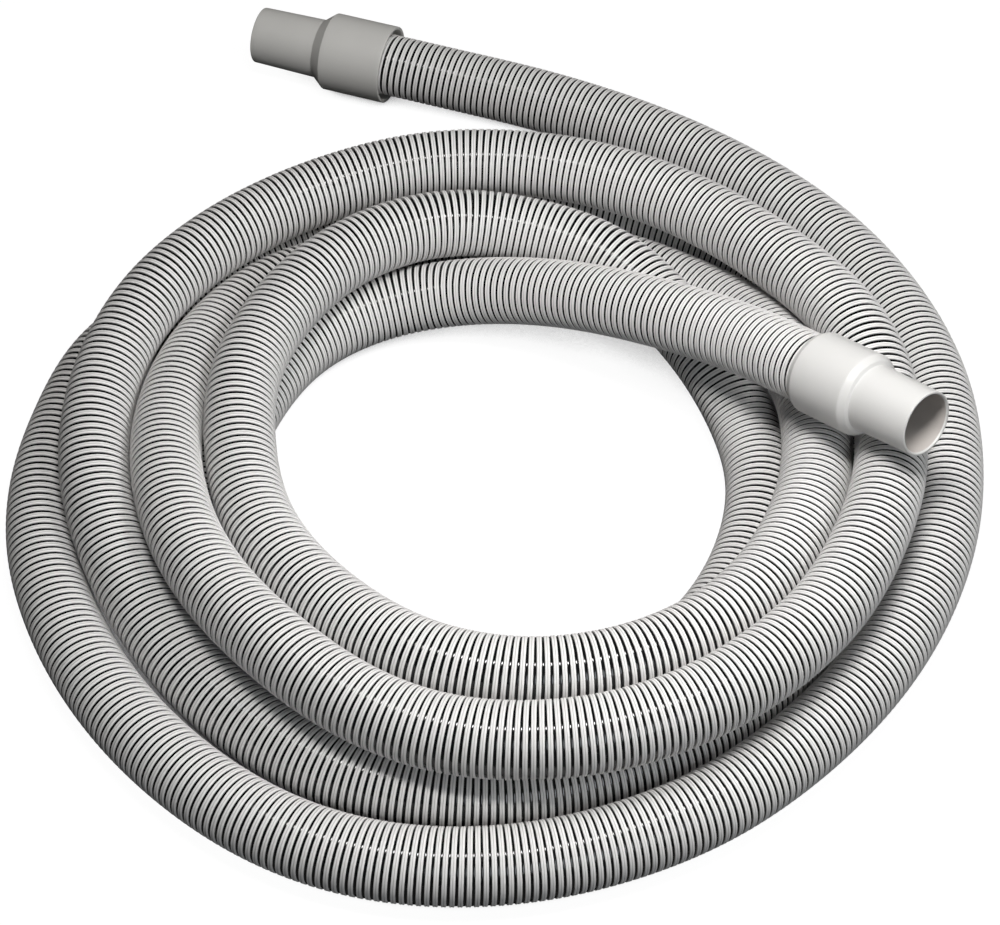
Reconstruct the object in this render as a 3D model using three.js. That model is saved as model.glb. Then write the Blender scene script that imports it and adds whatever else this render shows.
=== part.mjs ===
// Spiral-wound pool vacuum hose, 1.5 inch bore, lying in a loose coil of about
// five turns, with a swivel cuff on one end and a fixed cuff on the other.
// Millimetres, +Z up. The floor is z = 0 and the origin is under the middle of the hose's outline.
import * as THREE from 'three';

// ---------------------------------------------------------------- dimensions
// Names ending in R, and inner, outer and bore, are radii.
// From, To, At, Start, nozzle and length are distances along a cuff's axis from its mouth.
const HOSE = {
  outer: 46 / 2,               // to the corners of the outer skin
  bore: 38 / 2,                // nominal 1.5 inch smooth bore
  outerSides: 12,              // one facet faces down
  boreSides: 8,
};
const COIL_STEP = 41;          // longest distance between cross-sections in the coil
const END_STEP = 30;           // the same in the free ends
const TURNS = 5;
const TURN_PARTS = 4;          // lengths of hose to a turn of the coil
const SEAM = 0.3;              // gap between neighbouring lengths of hose in the coil
const FLEX_GAP = 6.4;          // gap at each flex joint of the two free ends
const PLAY = 0.4;              // clearance between neighbouring pieces of a cuff

// Easing of both cuffs' mouths: outward at the bore, inward at the outside.
const LIP = { boreFlare: 0.4, outerTaper: 0.3, depth: 0.6 };

const SWIVEL = {
  bore: 19.0, mouthR: 21.3, rootR: 22.2, nozzle: 50.0,
  sleeveR: 29.2, sleeveStart: 58.6, length: 107.0,
  rimInset: 0.5, rimDepth: 0.6,                    // chamfer on the outside of the sleeve's end
  socketR: 26.6, stepAt: 57.6,
  socketFlare: 0.5, socketFlareDepth: 0.8,         // chamfer on the inside of the sleeve's end
  grooveR: 27.5, grooveFrom: 93.2, grooveTo: 96.4,
  straight: 100,                                   // the hose is straight this far from the mouth
  flexes: [180, 260, 340, 420],                    // flex joints, along the hose from the mouth
};
const WASHER = {
  inner: 19.6, outer: SWIVEL.socketR - PLAY,
  from: SWIVEL.stepAt + PLAY, to: 59.6,
};
const BUSHING = {
  stopR: WASHER.inner, stopTo: 64.1,               // the stop is an inward shoulder
  flangeR: WASHER.outer, flangeTo: 63.2,
  inner: HOSE.outer + 0.5, outer: 25.8,
  from: WASHER.to + PLAY, to: SWIVEL.grooveFrom - PLAY,
  grooveR: 24.5, grooveFrom: 68.0, grooveTo: 71.6,
};
const ORING = {
  inner: BUSHING.grooveR + 0.3, outer: SWIVEL.socketR - 0.3,
  at: (BUSHING.grooveFrom + BUSHING.grooveTo) / 2, halfWidth: 1.1, chamfer: 0.4,
};
const RING = {
  inner: 23.7, outer: SWIVEL.grooveR - PLAY,
  from: SWIVEL.grooveFrom + PLAY, to: SWIVEL.grooveTo - PLAY,
  gap: 0.42,                                       // radians
};
SWIVEL.hoseEnd = BUSHING.stopTo + 0.5;

const FIXED = {
  bore: 19.0, mouthR: 20.9, rootR: 21.8, nozzle: 43.5,
  sleeveR: 27.0, sleeveStart: 49.0, length: 92.0,
  shoulderInset: 1.4, shoulderBefore: 1.2, shoulderAfter: 1.4,   // slope where the sleeve starts
  endR: 25.2, chamfer: 3.6,
  socketR: HOSE.outer + PLAY, stepAt: 46.4,
  socketFlare: 0.3, socketFlareDepth: 0.5,
  straight: 90,
  flexes: [120, 200, 290],
};
FIXED.hoseEnd = FIXED.stepAt + PLAY;

const TURNED_SIDES = 40;
const ORING_SIDES = 32;
const RING_SEGMENTS = 32;      // per arc of the retaining ring

const FINISHES = {
  hose: { color: 0xcfcfcd, roughness: 0.45 },
  swivelCuff: { color: 0x9c9b98, roughness: 0.42 },
  fixedCuff: { color: 0xe9e9e6, roughness: 0.4 },
  rubber: { color: 0x1d1d1e, roughness: 0.7 },
  acetal: { color: 0xd9d8d2, roughness: 0.4 },
  hub: { color: 0x77777a, roughness: 0.5 },
};

// Centre line of the hose: [x, y, z] control points of a uniform cubic B-spline,
// from the mouth of the swivel cuff to the mouth of the fixed cuff.
const CENTRE_LINE = [
  [-234.7, 400.1, 29.8], [-183.5, 379.3, 30.6], [-131.3, 362.1, 29.3], [-79.8, 342.5, 30],
  [-27, 328.3, 25.8], [25.1, 310.7, 24.8], [75.7, 288.8, 23.3], [123.6, 261.8, 23],
  [167.9, 228.9, 23], [207.9, 191.1, 23], [242.4, 147.9, 23], [268.4, 99.3, 23],
  [286.6, 47.2, 23], [295.5, -7.4, 23], [294, -62.5, 23], [285, -116.9, 23],
  [266.9, -169.1, 23], [241.5, -217.9, 23], [208.6, -262.3, 23], [170, -301.5, 23.1],
  [126.6, -335.8, 23.7], [76.8, -359.6, 22.9], [23.8, -375.2, 23], [-31.3, -379.6, 23],
  [-86.2, -372.2, 23], [-137.3, -350.4, 23], [-181.8, -317.7, 23], [-220.4, -278.2, 23],
  [-252.1, -233.3, 23], [-276.6, -183.6, 23.1], [-292.8, -131.1, 22.9], [-295.9, -75.2, 23.3],
  [-287.5, -21.6, 22.4], [-272.7, 33.1, 24.8], [-237.3, 75.2, 22.8], [-197.9, 113.4, 23.1],
  [-158.2, 151.8, 23], [-107.7, 175.5, 23], [-55.6, 192.7, 23], [0, 195.5, 23],
  [54.7, 189.8, 23], [107.3, 172.3, 23], [155.7, 145.4, 23], [195.4, 107, 23],
  [225.9, 60.5, 23], [239.1, 6.5, 23], [241.6, -48.5, 23], [235, -103.5, 23],
  [218.1, -155.9, 23], [191.9, -204.7, 23], [157.5, -247.6, 23], [116.4, -284.8, 23],
  [68.7, -312.4, 23], [15, -327.1, 22.9], [-40.1, -328.9, 23.1], [-94.2, -314.3, 22.8],
  [-140.9, -285, 23.7], [-182.4, -248.5, 28.2], [-215, -204.6, 35.3], [-240.9, -156.7, 43.6],
  [-258.6, -105, 52.4], [-261.8, -49.9, 58.8], [-253.2, 4.5, 62.7], [-231.6, 55.4, 67.7],
  [-197.3, 98.9, 69.5], [-156.3, 135.7, 69], [-108.2, 163.1, 69.9], [-56, 181.3, 71.3],
  [-0.5, 184.4, 71.4], [54, 174.9, 71.7], [104.5, 152.5, 72.6], [149.8, 120.4, 73.5],
  [186.8, 79.8, 76], [219.7, 35.4, 79.3], [241, -15.4, 82.1], [250.1, -70.1, 71.3],
  [244.5, -124.1, 74.1], [226, -176.8, 75.8], [200.9, -225.5, 74.7], [163.9, -267.2, 76.2],
  [119.7, -300, 75], [68, -320.5, 73.2], [12.9, -326.2, 71.1], [-42, -318.1, 69.3],
  [-92, -293.6, 71.7], [-133.6, -257.4, 74.5], [-169.2, -215.2, 72.2], [-195.8, -166.8, 70.1],
  [-210.5, -113.5, 66.7], [-215.2, -59.2, 58.3], [-207.5, -4.7, 50.9], [-191.1, 46.7, 40.1],
  [-158.9, 92.8, 35.2], [-112.3, 121.7, 28.5], [-61.3, 142.4, 23.7], [-5.9, 148.6, 22.6],
  [48.7, 142.3, 23.6], [101.4, 123.6, 21.9], [145.8, 91.3, 25.5], [181.4, 49.6, 37.2],
  [199.7, -1.7, 48], [205.9, -56.2, 55.1], [200.8, -111.2, 58.7], [183, -163.5, 60.9],
  [154.4, -210.9, 63.2], [113.7, -248.7, 66.6], [63.8, -273, 70.3], [8.3, -279.1, 70.6],
  [-46.2, -266.1, 70.7], [-91.2, -233.1, 67.9], [-127.8, -192.2, 65.5], [-154.8, -143.4, 62],
  [-166.2, -89.5, 65.4], [-168.9, -34.3, 70.9], [-153.1, 19.1, 70.7], [-124.7, 66.8, 72.5],
  [-84.2, 104.4, 71.2], [-31.2, 125.4, 69.2], [23.3, 121.6, 61.9], [76.2, 100.1, 59.2],
  [113.2, 62.7, 43.5], [142.6, 17.6, 37.4], [165.9, -30.6, 20.9], [171.9, -86.7, 24],
  [160.4, -140.8, 22.5], [137.2, -191.1, 23.3], [101.3, -233.1, 22.9], [57.8, -267.9, 23.1],
  [1.9, -277.4, 23], [-52.9, -269.7, 23], [-102.4, -244, 23], [-144.1, -207.5, 23],
  [-175, -161.7, 23.1], [-190.8, -107.4, 22.9], [-180.7, -52.6, 23.2], [-164.8, 0, 22.5],
  [-137.5, 48.3, 24.1], [-91.8, 82.4, 24.4], [-36.6, 90, 33.1], [15, 75.3, 49.3],
  [61, 49.6, 66.5], [105.8, 19.5, 80.6], [150.7, -11.9, 91.8], [186.9, -51.1, 105.4],
  [221.7, -91.3, 119.4], [259.2, -129.5, 128.9], [292.8, -171.5, 147.1],
];

// ---------------------------------------------------------------- centre line
const SPANS = CENTRE_LINE.length - 3;
const SPAN_SAMPLES = 24;       // samples to a span when measuring length

// Point at a spline parameter, which counts spans from the swivel cuff.
function splinePoint(parameter) {
  const clamped = Math.min(parameter, SPANS - 1e-9);
  const span = Math.floor(clamped);
  const u = clamped - span;
  const weights = [
    (1 - u) ** 3 / 6,
    (3 * u ** 3 - 6 * u * u + 4) / 6,
    (-3 * u ** 3 + 3 * u * u + 3 * u + 1) / 6,
    u ** 3 / 6,
  ];
  const point = new THREE.Vector3();
  weights.forEach((weight, k) => {
    point.addScaledVector(new THREE.Vector3(...CENTRE_LINE[span + k]), weight);
  });
  return point;
}

// Distance along the centre line at each sample.
function measureLengths() {
  const distances = [0];
  let last = splinePoint(0);
  for (let i = 1; i <= SPANS * SPAN_SAMPLES; i++) {
    const point = splinePoint(i / SPAN_SAMPLES);
    distances.push(distances[i - 1] + point.distanceTo(last));
    last = point;
  }
  return distances;
}
const lengths = measureLengths();
const TOTAL = lengths[lengths.length - 1];

// Point at a distance along the centre line, found by bisection.
function pointAt(distance) {
  let low = 0;
  let high = lengths.length - 1;
  while (high - low > 1) {
    const middle = (low + high) >> 1;
    if (lengths[middle] <= distance) low = middle;
    else high = middle;
  }
  const fraction = (distance - lengths[low]) / (lengths[high] - lengths[low]);
  return splinePoint((low + fraction) / SPAN_SAMPLES);
}

// A cuff's axis: a straight line from its mouth into the hose.
function cuffLine(mouthAt, insideAt) {
  const mouth = pointAt(mouthAt);
  return { mouth, axis: pointAt(insideAt).sub(mouth).normalize() };
}
const swivelLine = cuffLine(0, SWIVEL.straight);
const fixedLine = cuffLine(TOTAL, TOTAL - FIXED.straight);

function onLine({ mouth, axis }, distance) {
  return mouth.clone().addScaledVector(axis, distance);
}

// Centre of the hose, which runs on the cuff's axis near each end.
function hoseCentre(distance) {
  if (distance < SWIVEL.straight) return onLine(swivelLine, distance);
  if (distance > TOTAL - FIXED.straight) return onLine(fixedLine, TOTAL - distance);
  return pointAt(distance);
}

// A stretch of the hose's centre, with the two methods ExtrudeGeometry calls. Its
// cross-sections stay upright, so that one facet of every length of hose faces the floor.
class Stretch extends THREE.Curve {
  constructor(from, to) {
    super();
    this.from = from;
    this.to = to;
  }

  getSpacedPoints(steps) {
    const points = [];
    const spacing = (this.to - this.from) / steps;
    for (let i = 0; i <= steps; i++) {
      const distance = this.from + spacing * i;
      const point = hoseCentre(distance);
      if (i > 0 && i < steps) {
        // A quarter of the bend over two steps is the sagitta of one. Moving outward
        // by it brings the middle of each step back to the curve.
        const bend = hoseCentre(distance - spacing).add(hoseCentre(distance + spacing))
          .multiplyScalar(0.5).sub(point);
        point.addScaledVector(bend, -0.25);
      }
      points.push(point);
    }
    return points;
  }

  computeFrenetFrames(steps) {
    const frames = { tangents: [], normals: [], binormals: [] };
    const up = new THREE.Vector3(0, 0, 1);
    for (let i = 0; i <= steps; i++) {
      const distance = this.from + (this.to - this.from) * i / steps;
      const tangent = hoseCentre(distance + 0.5).sub(hoseCentre(distance - 0.5)).normalize();
      const side = new THREE.Vector3().crossVectors(tangent, up).normalize();
      frames.tangents.push(tangent);
      frames.normals.push(side);
      frames.binormals.push(new THREE.Vector3().crossVectors(tangent, side).normalize());
    }
    return frames;
  }
}

// ---------------------------------------------------------------- meshes
const group = new THREE.Group();

function makeMaterial(finish) {
  return new THREE.MeshStandardMaterial({ ...finish, metalness: 0 });
}

function addMesh(name, geometry, material) {
  const mesh = new THREE.Mesh(geometry, material);
  mesh.name = name;
  group.add(mesh);
  return mesh;
}

// ---------------------------------------------------------------- the hose
// Regular polygon with flats, not corners, at the top and bottom.
function polygon(PathType, radius, sides) {
  const path = new PathType();
  for (let i = 0; i < sides; i++) {
    const angle = (i + 0.5) * 2 * Math.PI / sides;
    const x = radius * Math.cos(angle);
    const y = radius * Math.sin(angle);
    if (i) path.lineTo(x, y);
    else path.moveTo(x, y);
  }
  path.closePath();
  return path;
}
const section = polygon(THREE.Shape, HOSE.outer, HOSE.outerSides);
section.holes.push(polygon(THREE.Path, HOSE.bore, HOSE.boreSides));
const hoseMaterial = makeMaterial(FINISHES.hose);

function addHose(name, from, to, longestStep) {
  const steps = Math.max(2, Math.ceil((to - from) / longestStep));
  const extrudePath = new Stretch(from, to);
  const options = { steps, bevelEnabled: false, extrudePath };
  addMesh(name, new THREE.ExtrudeGeometry(section, options), hoseMaterial);
}

function addCoil() {
  const parts = TURNS * TURN_PARTS;
  const from = SWIVEL.flexes.at(-1);
  const to = TOTAL - FIXED.flexes.at(-1);
  const cutAt = (i) => from + (to - from) * i / parts;
  const gapAt = (i) => (i > 0 && i < parts ? SEAM : FLEX_GAP);
  for (let i = 0; i < parts; i++) {
    const turn = Math.floor(i / TURN_PARTS) + 1;
    const name = `hose_turn_${turn}${'abcd'[i % TURN_PARTS]}`;
    addHose(name, cutAt(i) + gapAt(i) / 2, cutAt(i + 1) - gapAt(i + 1) / 2, COIL_STEP);
  }
}

// The lengths between a cuff and the coil, numbered from the coil outwards.
function addFreeEnd(end, { flexes, hoseEnd }, fromFarMouth) {
  for (let i = flexes.length - 1; i >= 0; i--) {
    const near = i ? flexes[i - 1] + FLEX_GAP / 2 : hoseEnd;
    const far = flexes[i] - FLEX_GAP / 2;
    const [from, to] = fromFarMouth ? [TOTAL - far, TOTAL - near] : [near, far];
    addHose(`hose_${end}_end_${flexes.length - i}`, from, to, END_STEP);
  }
}

addCoil();
addFreeEnd('swivel', SWIVEL, false);
addFreeEnd('fixed', FIXED, true);

// ---------------------------------------------------------------- turned pieces
// Turns a closed profile of [radius, distance from the mouth] about a cuff's axis.
function addTurned(name, profile, line, finish, sides = TURNED_SIDES) {
  const points = [...profile, profile[0]].map(([radius, along]) => new THREE.Vector2(radius, along));
  const mesh = addMesh(name, new THREE.LatheGeometry(points, sides), makeMaterial(finish));
  mesh.position.copy(line.mouth);
  mesh.quaternion.setFromUnitVectors(new THREE.Vector3(0, 1, 0), line.axis);
}

// Profile of a cuff: its nozzle, then the given sleeve and socket, then back down its bore.
function cuffProfile(cuff, sleeve) {
  return [
    [cuff.bore + LIP.boreFlare, 0], [cuff.mouthR, 0],
    [cuff.mouthR + LIP.outerTaper, LIP.depth], [cuff.rootR, cuff.nozzle],
    ...sleeve,
    [cuff.socketR, cuff.stepAt], [cuff.bore, cuff.stepAt], [cuff.bore, LIP.depth],
  ];
}

function addSwivelBody() {
  const c = SWIVEL;
  addTurned('swivel_cuff_body', cuffProfile(c, [
    [c.sleeveR, c.sleeveStart], [c.sleeveR, c.length - c.rimDepth],
    [c.sleeveR - c.rimInset, c.length], [c.socketR + c.socketFlare, c.length],
    [c.socketR, c.length - c.socketFlareDepth],
    [c.socketR, c.grooveTo], [c.grooveR, c.grooveTo],
    [c.grooveR, c.grooveFrom], [c.socketR, c.grooveFrom],
  ]), swivelLine, FINISHES.swivelCuff);
}

function addWasher() {
  const { inner, outer, from, to } = WASHER;
  const profile = [[inner, from], [outer, from], [outer, to], [inner, to]];
  addTurned('thrust_washer', profile, swivelLine, FINISHES.acetal);
}

function addBushing() {
  const b = BUSHING;
  addTurned('swivel_bushing', [
    [b.stopR, b.from], [b.flangeR, b.from], [b.flangeR, b.flangeTo], [b.outer, b.flangeTo],
    [b.outer, b.grooveFrom], [b.grooveR, b.grooveFrom],
    [b.grooveR, b.grooveTo], [b.outer, b.grooveTo],
    [b.outer, b.to], [b.inner, b.to], [b.inner, b.stopTo], [b.stopR, b.stopTo],
  ], swivelLine, FINISHES.hub);
}

function addOring() {
  const { inner, outer, at, halfWidth, chamfer } = ORING;
  const flat = halfWidth - chamfer;
  addTurned('swivel_oring', [
    [inner, at - flat], [inner + chamfer, at - halfWidth],
    [outer - chamfer, at - halfWidth], [outer, at - flat],
    [outer, at + flat], [outer - chamfer, at + halfWidth],
    [inner + chamfer, at + halfWidth], [inner, at + flat],
  ], swivelLine, FINISHES.rubber, ORING_SIDES);
}

// A flat C, so that it can be sprung into the cuff's groove. Its gap is underneath.
function addRetainingRing() {
  const start = RING.gap / 2;
  const end = 2 * Math.PI - start;
  const outline = new THREE.Shape();
  outline.absarc(0, 0, RING.outer, start, end, false);
  outline.absarc(0, 0, RING.inner, end, start, true);
  outline.closePath();
  const geometry = new THREE.ExtrudeGeometry(outline, {
    depth: RING.to - RING.from, bevelEnabled: false, curveSegments: RING_SEGMENTS,
  });
  const mesh = addMesh('retaining_ring', geometry, makeMaterial(FINISHES.hub));
  mesh.position.copy(onLine(swivelLine, RING.from));
  mesh.quaternion.setFromUnitVectors(new THREE.Vector3(0, 0, 1), swivelLine.axis);
}

function addFixedCuff() {
  const c = FIXED;
  addTurned('fixed_cuff', cuffProfile(c, [
    [c.sleeveR - c.shoulderInset, c.sleeveStart - c.shoulderBefore],
    [c.sleeveR, c.sleeveStart + c.shoulderAfter],
    [c.sleeveR, c.length - c.chamfer], [c.endR, c.length],
    [c.socketR + c.socketFlare, c.length], [c.socketR, c.length - c.socketFlareDepth],
  ]), fixedLine, FINISHES.fixedCuff);
}

addSwivelBody();
addWasher();
addBushing();
addOring();
addRetainingRing();
addFixedCuff();

export default group;
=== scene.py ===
"""A ribbed vacuum hose lying coiled on a studio floor, with a cuff at each end.

The floor is z = 0, and the coil winds round the z axis. The grey swivel cuff lies on the floor at
the back left (-x, +y). The white fixed cuff rises off the coil at the front right (+x, -y).
Sizes of the product are in millimetres; meshes are written in metres.
"""
import math

import bpy
import numpy as np
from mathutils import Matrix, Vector


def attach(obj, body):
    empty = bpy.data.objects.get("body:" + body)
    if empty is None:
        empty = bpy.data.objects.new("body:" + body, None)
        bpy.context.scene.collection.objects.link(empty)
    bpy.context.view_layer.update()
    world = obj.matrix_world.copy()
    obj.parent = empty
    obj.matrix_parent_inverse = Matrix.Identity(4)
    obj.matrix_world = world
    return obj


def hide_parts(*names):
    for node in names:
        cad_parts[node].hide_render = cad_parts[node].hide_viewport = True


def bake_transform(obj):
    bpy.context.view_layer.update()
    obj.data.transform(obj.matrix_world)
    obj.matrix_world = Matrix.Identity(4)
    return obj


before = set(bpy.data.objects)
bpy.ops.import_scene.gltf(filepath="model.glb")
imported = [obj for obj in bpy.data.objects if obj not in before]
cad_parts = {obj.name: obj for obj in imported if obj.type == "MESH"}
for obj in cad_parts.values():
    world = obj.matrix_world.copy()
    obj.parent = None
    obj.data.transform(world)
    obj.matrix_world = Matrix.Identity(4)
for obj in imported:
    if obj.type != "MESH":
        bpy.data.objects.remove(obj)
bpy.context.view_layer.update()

# ------------------------------------------------------------------ dimensions
MM = 0.001
FACETS = 40            # facets to one turn of the helix
RIB_HALF = 1.48        # half the rib's width
BORE = 19.0            # radius inside the hose
WEB_SHOULDER = 21.12   # radius of the web's flanges, under the ribs
WEB_TOP = 22.3         # radius over the dark web between the ribs
WEB_GAP_RADIUS = 22.0  # radius at which the gap between two ribs is measured

# Control points (x, y, z) of a uniform cubic B-spline, from the swivel cuff to the fixed cuff
CENTRE_LINE = np.array([
  [-234.7, 400.1, 29.8], [-183.5, 379.3, 30.6], [-131.3, 362.1, 29.3], [-79.8, 342.5, 30],
  [-27, 328.3, 25.8], [25.1, 310.7, 24.8], [75.7, 288.8, 23.3], [123.6, 261.8, 23],
  [167.9, 228.9, 23], [207.9, 191.1, 23], [242.4, 147.9, 23], [268.4, 99.3, 23],
  [286.6, 47.2, 23], [295.5, -7.4, 23], [294, -62.5, 23], [285, -116.9, 23],
  [266.9, -169.1, 23], [241.5, -217.9, 23], [208.6, -262.3, 23], [170, -301.5, 23.1],
  [126.6, -335.8, 23.7], [76.8, -359.6, 22.9], [23.8, -375.2, 23], [-31.3, -379.6, 23],
  [-86.2, -372.2, 23], [-137.3, -350.4, 23], [-181.8, -317.7, 23], [-220.4, -278.2, 23],
  [-252.1, -233.3, 23], [-276.6, -183.6, 23.1], [-292.8, -131.1, 22.9], [-295.9, -75.2, 23.3],
  [-287.5, -21.6, 22.4], [-272.7, 33.1, 24.8], [-237.3, 75.2, 22.8], [-197.9, 113.4, 23.1],
  [-158.2, 151.8, 23], [-107.7, 175.5, 23], [-55.6, 192.7, 23], [0, 195.5, 23],
  [54.7, 189.8, 23], [107.3, 172.3, 23], [155.7, 145.4, 23], [195.4, 107, 23],
  [225.9, 60.5, 23], [239.1, 6.5, 23], [241.6, -48.5, 23], [235, -103.5, 23],
  [218.1, -155.9, 23], [191.9, -204.7, 23], [157.5, -247.6, 23], [116.4, -284.8, 23],
  [68.7, -312.4, 23], [15, -327.1, 22.9], [-40.1, -328.9, 23.1], [-94.2, -314.3, 22.8],
  [-140.9, -285, 23.7], [-182.4, -248.5, 28.2], [-215, -204.6, 35.3], [-240.9, -156.7, 43.6],
  [-258.6, -105, 52.4], [-261.8, -49.9, 58.8], [-253.2, 4.5, 62.7], [-231.6, 55.4, 67.7],
  [-197.3, 98.9, 69.5], [-156.3, 135.7, 69], [-108.2, 163.1, 69.9], [-56, 181.3, 71.3],
  [-0.5, 184.4, 71.4], [54, 174.9, 71.7], [104.5, 152.5, 72.6], [149.8, 120.4, 73.5],
  [186.8, 79.8, 76], [219.7, 35.4, 79.3], [241, -15.4, 82.1], [250.1, -70.1, 71.3],
  [244.5, -124.1, 74.1], [226, -176.8, 75.8], [200.9, -225.5, 74.7], [163.9, -267.2, 76.2],
  [119.7, -300, 75], [68, -320.5, 73.2], [12.9, -326.2, 71.1], [-42, -318.1, 69.3],
  [-92, -293.6, 71.7], [-133.6, -257.4, 74.5], [-169.2, -215.2, 72.2], [-195.8, -166.8, 70.1],
  [-210.5, -113.5, 66.7], [-215.2, -59.2, 58.3], [-207.5, -4.7, 50.9], [-191.1, 46.7, 40.1],
  [-158.9, 92.8, 35.2], [-112.3, 121.7, 28.5], [-61.3, 142.4, 23.7], [-5.9, 148.6, 22.6],
  [48.7, 142.3, 23.6], [101.4, 123.6, 21.9], [145.8, 91.3, 25.5], [181.4, 49.6, 37.2],
  [199.7, -1.7, 48], [205.9, -56.2, 55.1], [200.8, -111.2, 58.7], [183, -163.5, 60.9],
  [154.4, -210.9, 63.2], [113.7, -248.7, 66.6], [63.8, -273, 70.3], [8.3, -279.1, 70.6],
  [-46.2, -266.1, 70.7], [-91.2, -233.1, 67.9], [-127.8, -192.2, 65.5], [-154.8, -143.4, 62],
  [-166.2, -89.5, 65.4], [-168.9, -34.3, 70.9], [-153.1, 19.1, 70.7], [-124.7, 66.8, 72.5],
  [-84.2, 104.4, 71.2], [-31.2, 125.4, 69.2], [23.3, 121.6, 61.9], [76.2, 100.1, 59.2],
  [113.2, 62.7, 43.5], [142.6, 17.6, 37.4], [165.9, -30.6, 20.9], [171.9, -86.7, 24],
  [160.4, -140.8, 22.5], [137.2, -191.1, 23.3], [101.3, -233.1, 22.9], [57.8, -267.9, 23.1],
  [1.9, -277.4, 23], [-52.9, -269.7, 23], [-102.4, -244, 23], [-144.1, -207.5, 23],
  [-175, -161.7, 23.1], [-190.8, -107.4, 22.9], [-180.7, -52.6, 23.2], [-164.8, 0, 22.5],
  [-137.5, 48.3, 24.1], [-91.8, 82.4, 24.4], [-36.6, 90, 33.1], [15, 75.3, 49.3],
  [61, 49.6, 66.5], [105.8, 19.5, 80.6], [150.7, -11.9, 91.8], [186.9, -51.1, 105.4],
  [221.7, -91.3, 119.4], [259.2, -129.5, 128.9], [292.8, -171.5, 147.1],
], float)

# (distance from the swivel cuff's mouth, pitch of the rib): a used hose is stretched in some
# places and pushed together in others
SPACING = np.array([
    (0, 4.68), (170, 4.71), (230, 4.69), (290, 4.82), (350, 4.91), (410, 4.93), (470, 5.09),
    (530, 5.18), (590, 5.26), (650, 5.28), (710, 5.18), (770, 5.10), (830, 4.98), (890, 4.80),
    (950, 4.68), (1010, 4.56), (1070, 4.40), (1130, 4.37), (1190, 4.40), (1250, 4.46),
    (1310, 4.53), (1370, 4.62), (1430, 4.78), (1490, 4.94), (1550, 5.13), (1610, 5.28),
    (1670, 5.35), (1850, 5.09), (1910, 4.84), (1970, 4.71), (2030, 4.83), (2090, 4.77),
    (2150, 4.80), (2270, 4.92), (2330, 5.05), (2570, 4.83), (2930, 4.42), (2990, 4.65),
    (3050, 4.73), (3110, 4.68), (3170, 4.75), (3230, 4.85), (3290, 5.01), (3350, 5.24),
    (3410, 5.08), (3470, 4.89), (3530, 4.89), (3590, 4.76), (3650, 4.73), (3710, 4.76),
    (3770, 4.76), (3830, 4.88), (3890, 5.04), (3950, 5.20), (4190, 4.90), (4250, 4.72),
    (4310, 4.44), (4370, 4.35), (4430, 4.45), (4490, 4.56), (4550, 4.50), (4610, 4.49),
    (4670, 4.90), (4730, 5.21), (4790, 5.33), (4850, 5.64), (4910, 5.47), (5570, 4.68),
    (5630, 4.78), (5690, 4.86), (5750, 4.67), (5810, 4.54), (5870, 4.45), (5930, 4.66),
    (5990, 4.97), (6050, 5.33), (6110, 4.98), (6170, 5.03), (6230, 5.17), (6290, 5.08),
    (6350, 4.97), (6410, 4.98), (6470, 4.68), (6710, 5.19), (7010, 4.59), (7070, 4.50),
    (7130, 4.49), (7550, 5.32), (7610, 5.00), (7670, 4.71), (7730, 4.81), (7918, 4.8)])

# ------------------------------------------------------------------ centre line
SPANS = len(CENTRE_LINE) - 3
SPAN_STEPS = 24        # samples to a span when its length is measured


def spline(q):
    """Points of the B-spline; q counts spans."""
    q = np.clip(np.asarray(q, float), 0, SPANS - 1e-9)
    i = np.floor(q).astype(int)
    u = (q - i)[:, None]
    return ((1 - u) ** 3 * CENTRE_LINE[i]
            + (3 * u ** 3 - 6 * u * u + 4) * CENTRE_LINE[i + 1]
            + (-3 * u ** 3 + 3 * u * u + 3 * u + 1) * CENTRE_LINE[i + 2]
            + u ** 3 * CENTRE_LINE[i + 3]) / 6


span_samples = np.arange(SPANS * SPAN_STEPS + 1) / SPAN_STEPS
sample_gaps = np.linalg.norm(np.diff(spline(span_samples), axis=0), axis=1)
lengths = np.r_[0, np.cumsum(sample_gaps)]
TOTAL = float(lengths[-1])


def free_line(distance):
    """Points of the spline at distances along it, before the ends are straightened."""
    return spline(np.interp(np.atleast_1d(distance), lengths, span_samples))


def smooth(t):
    t = np.clip(t, 0, 1)
    return t * t * (3 - 2 * t)


def unit(v):
    return v / np.linalg.norm(v)


def cuff_frame(mouth_at, aim_at):
    """A cuff's mouth, and its axis pointing into the hose."""
    mouth = free_line(mouth_at)[0]
    return mouth, unit(free_line(aim_at)[0] - mouth)


SWIVEL_CUFF = cuff_frame(0, 100)
FIXED_CUFF = cuff_frame(TOTAL, TOTAL - 90)
SWIVEL_STRAIGHT = 70   # straight length from the swivel cuff's mouth
FIXED_STRAIGHT = 62    # straight length from the fixed cuff's mouth
EASE = 50              # length over which each straight fades into the spline
OVERRUN = 8.0          # stations go this far past both mouths
PITCH_WINDOW = 60      # the pitch is averaged this far to either side

# everything below is tabled at stations one millimetre apart
stations = np.arange(-OVERRUN, TOTAL + OVERRUN + 0.5, 1.0)
centres = free_line(stations)
for (mouth, axis), straight, distance in (
        (SWIVEL_CUFF, SWIVEL_STRAIGHT, stations),
        (FIXED_CUFF, FIXED_STRAIGHT, TOTAL - stations)):
    weight = (1 - smooth((distance - straight) / EASE))[:, None]
    centres = centres * (1 - weight) + (mouth + distance[:, None] * axis) * weight

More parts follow.
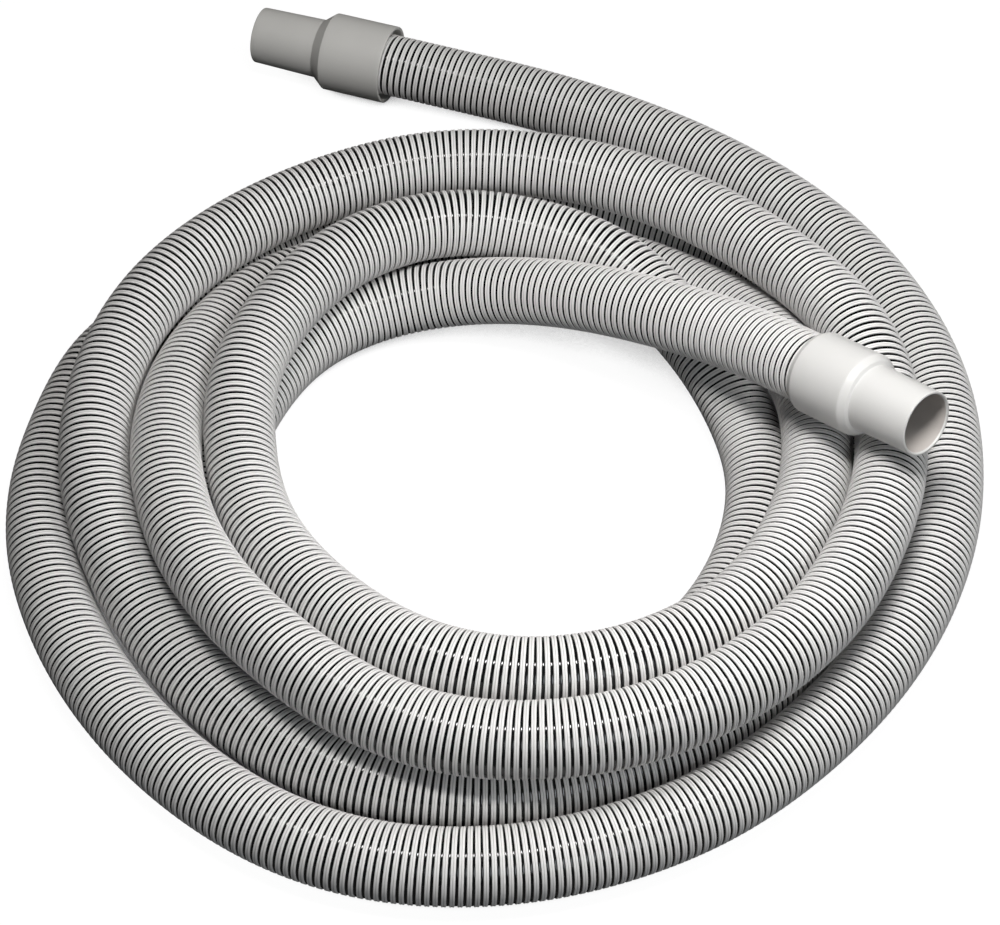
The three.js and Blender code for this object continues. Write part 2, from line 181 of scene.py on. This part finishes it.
# cross-sections stay upright
tangents = np.gradient(centres, axis=0)
tangents /= np.linalg.norm(tangents, axis=1)[:, None]
sides = np.cross(tangents, [0, 0, 1.0])
sides /= np.linalg.norm(sides, axis=1)[:, None]
ups = np.cross(sides, tangents)
bends = np.gradient(tangents, axis=0)
for _ in range(3):      # a light smoothing, so that the rib's spacing changes evenly
    bends[1:-1] = (bends[:-2] + 2 * bends[1:-1] + bends[2:]) / 4

window = 2 * PITCH_WINDOW + 1
padded = stations[0] - PITCH_WINDOW + np.arange(len(stations) + window - 1)
pitches = np.convolve(np.interp(padded, SPACING[:, 0], SPACING[:, 1]),
                      np.ones(window) / window, 'valid')
# turns of the helix up to each station
turns = np.r_[0, np.cumsum(0.5 * (1 / pitches[:-1] + 1 / pitches[1:]))]


def sample(table, distance):
    return np.stack([np.interp(distance, stations, table[:, k]) for k in range(3)], -1)


def radial(angle, side, up):
    return np.cos(angle)[..., None] * side + np.sin(angle)[..., None] * up


# ------------------------------------------------------------------ mesh helpers
def add_object(name, data):
    ob = bpy.data.objects.new(name, data)
    bpy.context.scene.collection.objects.link(ob)
    return ob


def signed_volume(verts, quads):
    a, b, c, d = (verts[quads[:, k]] for k in range(4))
    o = verts.mean(0)
    return (np.einsum('ij,ij->i', a - o, np.cross(b - o, c - o)).sum()
            + np.einsum('ij,ij->i', a - o, np.cross(c - o, d - o)).sum())


def make_body(name, grid_mm, materials, face_slots=None, closed=False):
    """A solid from rows of section points. Each section closes on itself.

    The rows either close into a ring or end in flat, sharp-edged caps.
    """
    rows, cols = grid_mm.shape[:2]
    verts = grid_mm.reshape(-1, 3) * MM
    row, col = np.meshgrid(np.arange(rows if closed else rows - 1), np.arange(cols),
                           indexing='ij')
    next_row, next_col = (row + 1) % rows, (col + 1) % cols
    quads = np.stack([row * cols + col, row * cols + next_col,
                      next_row * cols + next_col, next_row * cols + col], -1).reshape(-1, 4)
    caps = [] if closed else [np.arange(cols)[::-1], np.arange(cols) + (rows - 1) * cols]
    corners = np.concatenate([quads.ravel(), *caps])
    totals = np.array([4] * len(quads) + [cols] * len(caps))

    me = bpy.data.meshes.new(name)
    me.vertices.add(len(verts))
    me.vertices.foreach_set('co', verts.astype(np.float32).ravel())
    me.loops.add(len(corners))
    me.loops.foreach_set('vertex_index', corners.astype(np.int32))
    me.polygons.add(len(totals))
    me.polygons.foreach_set('loop_start', (np.cumsum(totals) - totals).astype(np.int32))
    me.polygons.foreach_set('loop_total', totals.astype(np.int32))
    if face_slots is not None:
        slots = np.concatenate([face_slots, np.zeros(len(caps), int)])
        me.polygons.foreach_set('material_index', slots.astype(np.int32))
    me.update(calc_edges=True)
    if signed_volume(verts, quads) < 0:      # every face points outward
        me.flip_normals()
    me.polygons.foreach_set('use_smooth', np.arange(len(totals)) < len(quads))
    if caps:
        rim = np.zeros(len(verts), bool)
        rim[np.concatenate(caps)] = True
        ends = np.zeros(len(me.edges) * 2, np.int32)
        me.edges.foreach_get('vertices', ends)
        ends = ends.reshape(-1, 2)
        sharp = me.attributes.new('sharp_edge', 'BOOLEAN', 'EDGE')
        sharp.data.foreach_set('value', rim[ends[:, 0]] & rim[ends[:, 1]])
    ob = add_object(name, me)
    for material in materials:
        me.materials.append(material)
    return ob


# ------------------------------------------------------------------ the wound strips
# Rib: a pale strip with two low lobes and a shallow groove. (offset along the hose, radius)
RIB = np.array([
    (-1.36, 21.20), (-1.48, 21.60), (-1.48, 22.52), (-1.40, 22.84), (-1.20, 22.97),
    (-0.58, 23.00), (-0.26, 22.88), (0.00, 22.74), (0.26, 22.87), (0.58, 22.98),
    (1.20, 22.95), (1.40, 22.82), (1.48, 22.50), (1.48, 21.60), (1.36, 21.20)])
# material of each facet of the rib: 0 the light lobe, 1 the groove, coloured darker as painted
# shade, 2 the greyer lobe
RIB_SLOTS = [0] * 6 + [1] * 2 + [2] * 6 + [0]

# Web: a symmetrical section, given from its edge to its middle
HALF_WEB_RADII = [BORE, WEB_SHOULDER, WEB_SHOULDER, WEB_TOP - 0.28, WEB_TOP - 0.05, WEB_TOP]
WEB_RADII = np.array(HALF_WEB_RADII + HALF_WEB_RADII[::-1])


def web_offsets(curve, pitch):
    """Offsets along the hose that go with WEB_RADII."""
    gap = pitch / 2 - RIB_HALF / (1 - curve * WEB_GAP_RADIUS)  # half the gap between two ribs
    gap = np.maximum(gap, 0.2)
    edge = pitch / 2 - 0.02        # leaves a slit between neighbouring turns
    flat = np.maximum(gap - 0.27, gap * 0.4)
    half = [edge, edge, gap + 0.12, gap + 0.05, gap * 0.35 + flat * 0.65, flat]
    return np.stack([-x for x in half] + half[::-1], 1)


def wound_strip(name, start, stop, kind, materials):
    """One length of the rib, or of the web half a turn further on."""
    first, last = (int(round(t * FACETS)) for t in np.interp([start, stop], stations, turns))
    facet = np.arange(first, last + 1)
    angle = 2 * np.pi * facet / FACETS
    along = np.interp(facet / FACETS + (0.5 if kind == 'web' else 0.0), turns, stations)
    outward = radial(angle, sample(sides, along), sample(ups, along))
    # 1/mm, positive on the inside of the bend
    curve = np.einsum('ij,ij->i', sample(bends, along), outward)
    if kind == 'rib':
        radii = RIB[:, 1]
        offsets = RIB[:, 0] / (1 - curve[:, None] * radii)
        face_slots = np.tile(RIB_SLOTS, len(facet) - 1)
    else:
        radii = WEB_RADII
        offsets = web_offsets(curve, np.interp(along, stations, pitches))
        face_slots = None
    at = (along[:, None] + offsets).ravel()
    outward = radial(np.repeat(angle, len(radii)), sample(sides, at), sample(ups, at))
    points = sample(centres, at) + np.tile(radii, len(facet))[:, None] * outward
    return make_body(name, points.reshape(len(facet), len(radii), 3), materials, face_slots)


# ------------------------------------------------------------------ turned pieces
# profiles are rows of (radius, distance from the cuff's mouth, corner radius)
CORNER_STEPS = 4
LONGEST_RUN = 4.0      # longer straight runs of a turned profile are divided


def rounded(profile):
    """The closed profile with rounded corners, as (radius, distance)."""
    points = []
    for i, (*corner, radius) in enumerate(profile):
        corner = np.array(corner, float)
        back = np.array(profile[i - 1][:2], float) - corner
        ahead = np.array(profile[(i + 1) % len(profile)][:2], float) - corner
        back_length, ahead_length = np.linalg.norm(back), np.linalg.norm(ahead)
        back, ahead = back / back_length, ahead / ahead_length
        angle = math.acos(float(back @ ahead))
        cut = min(radius / math.tan(angle / 2), back_length * 0.45, ahead_length * 0.45)
        for t in np.linspace(0, 1, CORNER_STEPS + 1):
            points.append((1 - t) ** 2 * (corner + back * cut) + 2 * t * (1 - t) * corner
                          + t * t * (corner + ahead * cut))
    return np.array(points)


def rounded_box(inner, outer, near, far, corner):
    return rounded([(inner, near, corner), (outer, near, corner),
                    (outer, far, corner), (inner, far, corner)])


def divided(profile):
    points = []
    for p, q in zip(profile, np.roll(profile, -1, 0)):
        count = max(1, int(math.ceil(np.linalg.norm(q - p) / LONGEST_RUN)))
        for t in range(count):
            points.append(p + (q - p) * t / count)
    return np.array(points)


def revolved(profile, angles, cuff):
    """The profile's points at each angle round a cuff's axis."""
    mouth, axis = cuff
    side = unit(np.cross(axis, [0, 0, 1.0]))
    outward = radial(angles[:, None], side, np.cross(side, axis))
    return mouth + profile[:, 1, None] * axis + profile[:, 0, None] * outward


def split_ring(name, profile, gap, cuff, material, segments=88):
    """A ring with a gap, in radians, at its lowest point."""
    angles = -math.pi / 2 + np.linspace(gap / 2, 2 * math.pi - gap / 2, segments + 1)
    return make_body(name, revolved(profile, angles, cuff), [material])


def turned(name, profile, cuff, materials, segments=96, bore_limits=None):
    """A full ring. Faces under both bore limits (radius, distance) take the second material."""
    profile = divided(profile)
    angles = 2 * np.pi * np.arange(segments) / segments
    face_slots = None
    if bore_limits:
        furthest = np.maximum(profile, np.roll(profile, -1, 0))
        face_slots = np.tile((furthest < bore_limits).all(1).astype(int), segments)
    return make_body(name, revolved(profile, angles, cuff), materials, face_slots, closed=True)


# ------------------------------------------------------------------ materials
def set_inputs(node, **values):
    """Sets inputs by name, with underscores for the spaces."""
    for key, value in values.items():
        node.inputs[key.replace('_', ' ')].default_value = value


def add_node(tree, kind, **values):
    node = tree.nodes.new(kind)
    set_inputs(node, **values)
    return node


def add_ramp(tree, source, stops):
    node = tree.nodes.new('ShaderNodeValToRGB')
    elements = node.color_ramp.elements
    for element, (position, colour) in zip(elements, (stops[0], stops[-1])):
        element.position, element.color = position, (*colour, 1)
    for position, colour in stops[1:-1]:
        elements.new(position).color = (*colour, 1)
    tree.links.new(source, node.inputs[0])
    return node


def plastic(name, colour, spread, rough, rough_spread, bump, cloud=9.0, scuff=0.0,
            scuff_colour=None, subsurface=0.0, specular=0.5):
    """Moulded plastic: colour and roughness drift slowly, with a fine grain in the bump.

    spread is the drift's share of the colour, cloud the drift's noise scale, bump the grain's
    strength, and scuff the strength of the scuffs.
    """
    material = bpy.data.materials.new(name)
    material.use_nodes = True
    tree = material.node_tree
    link = tree.links.new
    shader = tree.nodes['Principled BSDF']
    coords = tree.nodes.new('ShaderNodeTexCoord').outputs['Object']
    drift = add_node(tree, 'ShaderNodeTexNoise', Scale=cloud, Detail=4.0, Roughness=0.6)
    grain = add_node(tree, 'ShaderNodeTexNoise', Scale=900.0, Detail=3.0, Roughness=0.6)
    for noise in (drift, grain):
        link(coords, noise.inputs['Vector'])
    darker = tuple(max(0.0, c * (1 - spread)) for c in colour)
    lighter = tuple(min(1.0, c * (1 + spread)) for c in colour)
    stops = [(0.3, darker), (0.5, colour), (0.72, lighter)]
    shown = add_ramp(tree, drift.outputs['Fac'], stops).outputs['Color']
    if scuff:
        scuffs = add_node(tree, 'ShaderNodeTexNoise', Scale=55.0, Detail=8.0, Roughness=0.72)
        link(coords, scuffs.inputs['Vector'])
        mask = add_ramp(tree, scuffs.outputs['Fac'], [(0.6, (0, 0, 0)), (0.78, (scuff,) * 3)])
        mix = tree.nodes.new('ShaderNodeMix')
        mix.data_type = 'RGBA'
        factor, first, second = mix.inputs[0], mix.inputs[6], mix.inputs[7]
        link(mask.outputs['Color'], factor)
        link(shown, first)
        second.default_value = (*scuff_colour, 1)
        shown = mix.outputs[2]
    link(shown, shader.inputs['Base Color'])
    roughness = add_node(tree, 'ShaderNodeMapRange', From_Min=0.3, From_Max=0.7,
                         To_Min=rough - rough_spread, To_Max=rough + rough_spread)
    link(drift.outputs['Fac'], roughness.inputs['Value'])
    link(roughness.outputs['Result'], shader.inputs['Roughness'])
    relief = add_node(tree, 'ShaderNodeBump', Strength=bump, Distance=0.0004)
    link(grain.outputs['Fac'], relief.inputs['Height'])
    link(relief.outputs['Normal'], shader.inputs['Normal'])
    set_inputs(shader, Specular_IOR_Level=specular)
    if subsurface:
        set_inputs(shader, Subsurface_Weight=subsurface, Subsurface_Scale=0.5,
                   Subsurface_Radius=(0.004, 0.004, 0.0035))
    return material


RIB_LIGHT = plastic('rib_light', (0.757, 0.742, 0.73), spread=0.03, rough=0.50,
                    rough_spread=0.06, bump=0.10, scuff=0.10,
                    scuff_colour=(0.525, 0.518, 0.51), specular=0.4)
# painted shade: the groove's colour is much darker than the lobes, standing for the shade in the
# groove
RIB_GROOVE_SHADE = plastic('rib_groove_shade', (0.455, 0.447, 0.44), spread=0.04, rough=0.48,
                     rough_spread=0.06, bump=0.10)
RIB_GREY = plastic('rib_grey', (0.69, 0.678, 0.668), spread=0.03, rough=0.50,
                   rough_spread=0.06, bump=0.10, scuff=0.10,
                   scuff_colour=(0.5, 0.5, 0.49), specular=0.4)
WEB = plastic('dark_web', (0.004, 0.004, 0.0045), spread=0.4, rough=0.085,
              rough_spread=0.015, bump=0.004)
GREY_PLASTIC = plastic('grey_cuff', (0.515, 0.506, 0.485), spread=0.03, rough=0.45,
                       rough_spread=0.05, cloud=14.0, bump=0.12, scuff=0.10,
                       scuff_colour=(0.50, 0.50, 0.48))
WHITE_PLASTIC = plastic('white_cuff', (0.57, 0.563, 0.55), spread=0.015, rough=0.36,
                        rough_spread=0.05, cloud=14.0, bump=0.08, scuff=0.05,
                        scuff_colour=(0.50, 0.48, 0.45), subsurface=0.08)
# painted shade: the bore is darker and browner than the shell, standing for the shade inside the
# cuff's mouth
WHITE_BORE_SHADE = plastic('white_cuff_bore_shade', (0.46, 0.428, 0.403), spread=0.05, rough=0.5,
                     rough_spread=0.05, cloud=30.0, bump=0.15, scuff=0.2,
                     scuff_colour=(0.32, 0.30, 0.28))
HUB = plastic('hub_grey', (0.10, 0.10, 0.105), spread=0.08, rough=0.45,
              rough_spread=0.08, bump=0.12)
ACETAL = plastic('acetal', (0.66, 0.65, 0.60), spread=0.04, rough=0.38,
                 rough_spread=0.05, bump=0.08)
RUBBER = plastic('rubber', (0.012, 0.012, 0.013), spread=0.2, rough=0.55,
                 rough_spread=0.08, bump=0.2)

# ------------------------------------------------------------------ the hose
COIL_PARTS = 20
COIL_FROM = 420            # from the swivel cuff's mouth
COIL_TO = TOTAL - 290
COIL_TRIM = 45             # taken off both ends of the coil, for the bending lengths

# bending lengths: (one end, other end, where the blend starts, where it stops)
SWIVEL_BENDS = np.array([      # from the swivel cuff's mouth
    (380, 465, 454, 388), (300, 380, 373, 307), (220, 300, 293, 227), (140, 220, 213, 147)])
FIXED_BENDS = np.array([       # from the fixed cuff's mouth
    (335, 245, 326, 254), (245, 160, 236, 166), (160, 84, 152, 95)])


def hose_length(tag, start, stop, body, node, blend=None):
    """Rib and web of one length, riding a body, or, when a blend is given, left loose with its
    placement applied to the mesh.
    """
    for kind, looks in (('rib', [RIB_LIGHT, RIB_GROOVE_SHADE, RIB_GREY]), ('web', [WEB])):
        ob = wound_strip(f'{kind}_{tag}', start, stop, kind, looks)
        if blend:
            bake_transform(ob)
        else:
            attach(ob, body)
        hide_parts(node)


def coil():
    span = COIL_TO - COIL_FROM
    cuts = [COIL_FROM + span * i / COIL_PARTS for i in range(COIL_PARTS + 1)]
    cuts[0], cuts[-1] = COIL_FROM + COIL_TRIM, COIL_TO - COIL_TRIM
    for i in range(COIL_PARTS):
        tag = f"turn_{i // 4 + 1}{'abcd'[i % 4]}"
        hose_length(tag, cuts[i], cuts[i + 1], 'coil', f'hose_{tag}')


def bending_lengths(end, rows):
    """Lengths from the coil towards a cuff, each left loose with its placement applied to the
    mesh.
    """
    body = 'coil'
    for number, (start, stop, blend_start, blend_stop) in enumerate(rows, 1):
        tag = f'{end}_{number}'
        hose_length(tag, start, stop, body, f'hose_{tag}', (tag, blend_start, blend_stop))
        body = tag


coil()
bending_lengths('swivel_end', SWIVEL_BENDS)
hose_length('swivel_end_5', 66.5, 140, 'swivel_end_4', 'hose_swivel_end_4')
bending_lengths('fixed_end', TOTAL - FIXED_BENDS)
hose_length('fixed_end_4', TOTAL - 84, TOTAL - 49, 'fixed_end_3', 'hose_fixed_end_3')


# ------------------------------------------------------------------ the cuffs
def assign(ob, body, node):
    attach(ob, body)
    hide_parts(node)


GREY_CUFF_PROFILE = [
    (19.35, 0.0, 0.5), (21.15, 0.0, 0.9), (22.2, 50.0, 0.25), (29.2, 58.8, 0.45),
    (29.2, 107.0, 0.55), (27.2, 107.0, 0.35), (26.6, 106.0, 0.3), (26.6, 96.4, 0.15),
    (27.5, 96.4, 0.15), (27.5, 93.2, 0.15), (26.6, 93.2, 0.15), (26.6, 57.6, 0.3),
    (19.0, 57.6, 0.3), (19.0, 1.2, 0.3)]
BUSHING_PROFILE = [
    (19.6, 60.0, 0.3), (26.2, 60.0, 0.3), (26.2, 63.2, 0.3), (25.8, 63.2, 0.1),
    (25.8, 68.0, 0.2), (24.5, 68.0, 0.3), (24.5, 71.6, 0.3), (25.8, 71.6, 0.2),
    (25.8, 92.8, 0.3), (23.5, 92.8, 0.3), (23.5, 64.1, 0.2), (19.6, 64.1, 0.3)]
WHITE_CUFF_PROFILE = [
    (19.5, 0.0, 0.5), (20.9, 0.0, 0.6), (21.8, 43.9, 0.5), (24.3, 44.8, 1.8),
    (27.0, 49.0, 3.4), (27.0, 88.4, 0.6), (25.2, 92.0, 0.4), (23.6, 92.0, 0.3),
    (23.4, 91.0, 0.3), (23.4, 46.4, 0.3), (19.0, 46.4, 0.3), (19.0, 1.2, 0.3)]


def swivel_cuff():
    """The grey shell, and the parts it turns on."""
    shell = turned('grey_cuff', rounded(GREY_CUFF_PROFILE), SWIVEL_CUFF, [GREY_PLASTIC],
                   segments=128)
    assign(shell, 'swivel_cuff', 'swivel_cuff_body')

    circlip_profile = rounded_box(inner=23.7, outer=27.1, near=93.6, far=96.0, corner=0.2)
    circlip = split_ring('circlip', circlip_profile, gap=0.42, cuff=SWIVEL_CUFF, material=HUB)
    assign(circlip, 'swivel_cuff', 'retaining_ring')

    washer_profile = rounded_box(inner=19.6, outer=26.2, near=58.0, far=59.6, corner=0.2)
    washer = turned('slip_washer', washer_profile, SWIVEL_CUFF, [ACETAL])
    assign(washer, 'swivel_cuff', 'thrust_washer')

    bushing = turned('bushing_sleeve', rounded(BUSHING_PROFILE), SWIVEL_CUFF, [HUB])
    assign(bushing, 'swivel_end_4', 'swivel_bushing')

    # an oval section, in the bushing's groove
    seal_profile = np.array([(25.55 + 0.75 * math.cos(a), 69.8 + 1.1 * math.sin(a))
                             for a in np.linspace(0, 2 * math.pi, 17)[:-1]])
    seal = turned('seal_ring', seal_profile, SWIVEL_CUFF, [RUBBER])
    assign(seal, 'swivel_end_4', 'swivel_oring')


def fixed_cuff():
    # faces in the bore take the bore colour, darkened as painted shade inside the mouth
    shell = turned('white_cuff', rounded(WHITE_CUFF_PROFILE), FIXED_CUFF,
                   [WHITE_PLASTIC, WHITE_BORE_SHADE], segments=128, bore_limits=(19.25, 46.0))
    assign(shell, 'fixed_end_3', 'fixed_cuff')


swivel_cuff()
fixed_cuff()


# ------------------------------------------------------------------ floor (metres from here on)
def floor_material():
    """A pale sweep that glows to the camera; ambient occlusion dims the glow, painting the soft
    contact shadows and dark slits on it.
    """
    material = bpy.data.materials.new('studio_floor')
    material.use_nodes = True
    tree = material.node_tree
    link = tree.links.new
    tree.nodes.clear()
    output = tree.nodes.new('ShaderNodeOutputMaterial')
    shown = tree.nodes.new('ShaderNodeAddShader')
    glow = add_node(tree, 'ShaderNodeEmission', Color=(1, 1, 1, 1))
    # painted shade: ambient occlusion dims the glow, so no glow reaches the slits between two
    # strands and they show dark
    openness = add_node(tree, 'ShaderNodeAmbientOcclusion', Distance=0.09)
    openness.samples = 16
    dim = add_node(tree, 'ShaderNodeMapRange', From_Min=0.04, From_Max=0.22,
                   To_Min=0.0, To_Max=0.965)
    link(openness.outputs['AO'], dim.inputs['Value'])
    link(dim.outputs['Result'], glow.inputs['Strength'])
    paint = tree.nodes.new('ShaderNodeBsdfDiffuse')
    bounced = add_node(tree, 'ShaderNodeBsdfDiffuse', Color=(0.07, 0.07, 0.07, 1))
    path = tree.nodes.new('ShaderNodeLightPath')
    mix = tree.nodes.new('ShaderNodeMixShader')
    noise = add_node(tree, 'ShaderNodeTexNoise', Scale=3.0, Detail=2.0)
    tint = add_ramp(tree, noise.outputs['Fac'], [(0.3, (0.075,) * 3), (0.7, (0.085,) * 3)])
    link(tint.outputs['Color'], paint.inputs['Color'])
    link(glow.outputs[0], shown.inputs[0])
    link(paint.outputs[0], shown.inputs[1])
    link(path.outputs['Is Camera Ray'], mix.inputs[0])
    link(bounced.outputs[0], mix.inputs[1])
    link(shown.outputs[0], mix.inputs[2])
    link(mix.outputs[0], output.inputs['Surface'])
    return material


def studio_floor(half=4.0):
    me = bpy.data.meshes.new('studio_floor')
    corners = [(-half, -half, 0), (half, -half, 0), (half, half, 0), (-half, half, 0)]
    me.from_pydata(corners, [], [(0, 1, 2, 3)])
    me.materials.append(floor_material())
    add_object('studio_floor', me)


studio_floor()


# ------------------------------------------------------------------ lights
def area(name, place, target, size, power, colour=(1, 1, 1), depth=None, hidden=False):
    """A disk light, or a rectangle if it has a depth. Hidden ones make no reflection."""
    light = bpy.data.lights.new(name, 'AREA')
    light.shape, light.size, light.energy, light.color = 'DISK', size, power, colour
    if depth:
        light.shape, light.size_y = 'RECTANGLE', depth
    ob = add_object(name, light)
    ob.location = place
    ob.rotation_euler = (Vector(target) - Vector(place)).to_track_quat('-Z', 'Y').to_euler()
    if hidden:
        ob.visible_glossy = ob.visible_camera = False


area('key', (0.03, -0.43, 1.5), target=(0.03, -0.43, 0.0), size=0.5, depth=0.16, power=14.1,
     colour=(1.0, 0.99, 0.975))
area('over_the_coil', (0.17, -0.16, 0.54), target=(0.17, -0.16, 0.0), size=0.2, power=1.3,
     hidden=True)
area('from_the_right', (1.25, -0.15, 1.5), target=(0.0, -0.06, 0.05), size=0.8, power=8.5,
     hidden=True)
area('fill_back', (-0.3, 2.1, 1.1), target=(0.0, 0.0, 0.05), size=1.4, power=6.0, hidden=True)
area('fill_front', (0.9, -2.1, 1.4), target=(0.0, -0.06, 0.05), size=1.2, power=15.0,
     colour=(0.92, 0.965, 1.0))

scene = bpy.context.scene
scene.world = bpy.data.worlds.new('studio')
scene.world.use_nodes = True
set_inputs(scene.world.node_tree.nodes['Background'], Color=(1, 1, 1, 1), Strength=0.03)

# ------------------------------------------------------------------ camera and view
lens = bpy.data.cameras.new('camera')
lens.sensor_fit, lens.sensor_width = 'HORIZONTAL', 36.0
lens.lens = 93.96396
lens.clip_start, lens.clip_end = 0.05, 50
camera = add_object('camera', lens)
camera.location = (0.0001, -1.225732, 1.271057)
camera.rotation_euler = (math.radians(43), 0, 0)
scene.camera = camera

scene.view_settings.view_transform = 'Standard'
scene.view_settings.look = 'None'
scene.view_settings.exposure = 0.0
scene.view_settings.gamma = 1.0

bpy.context.view_layer.update()
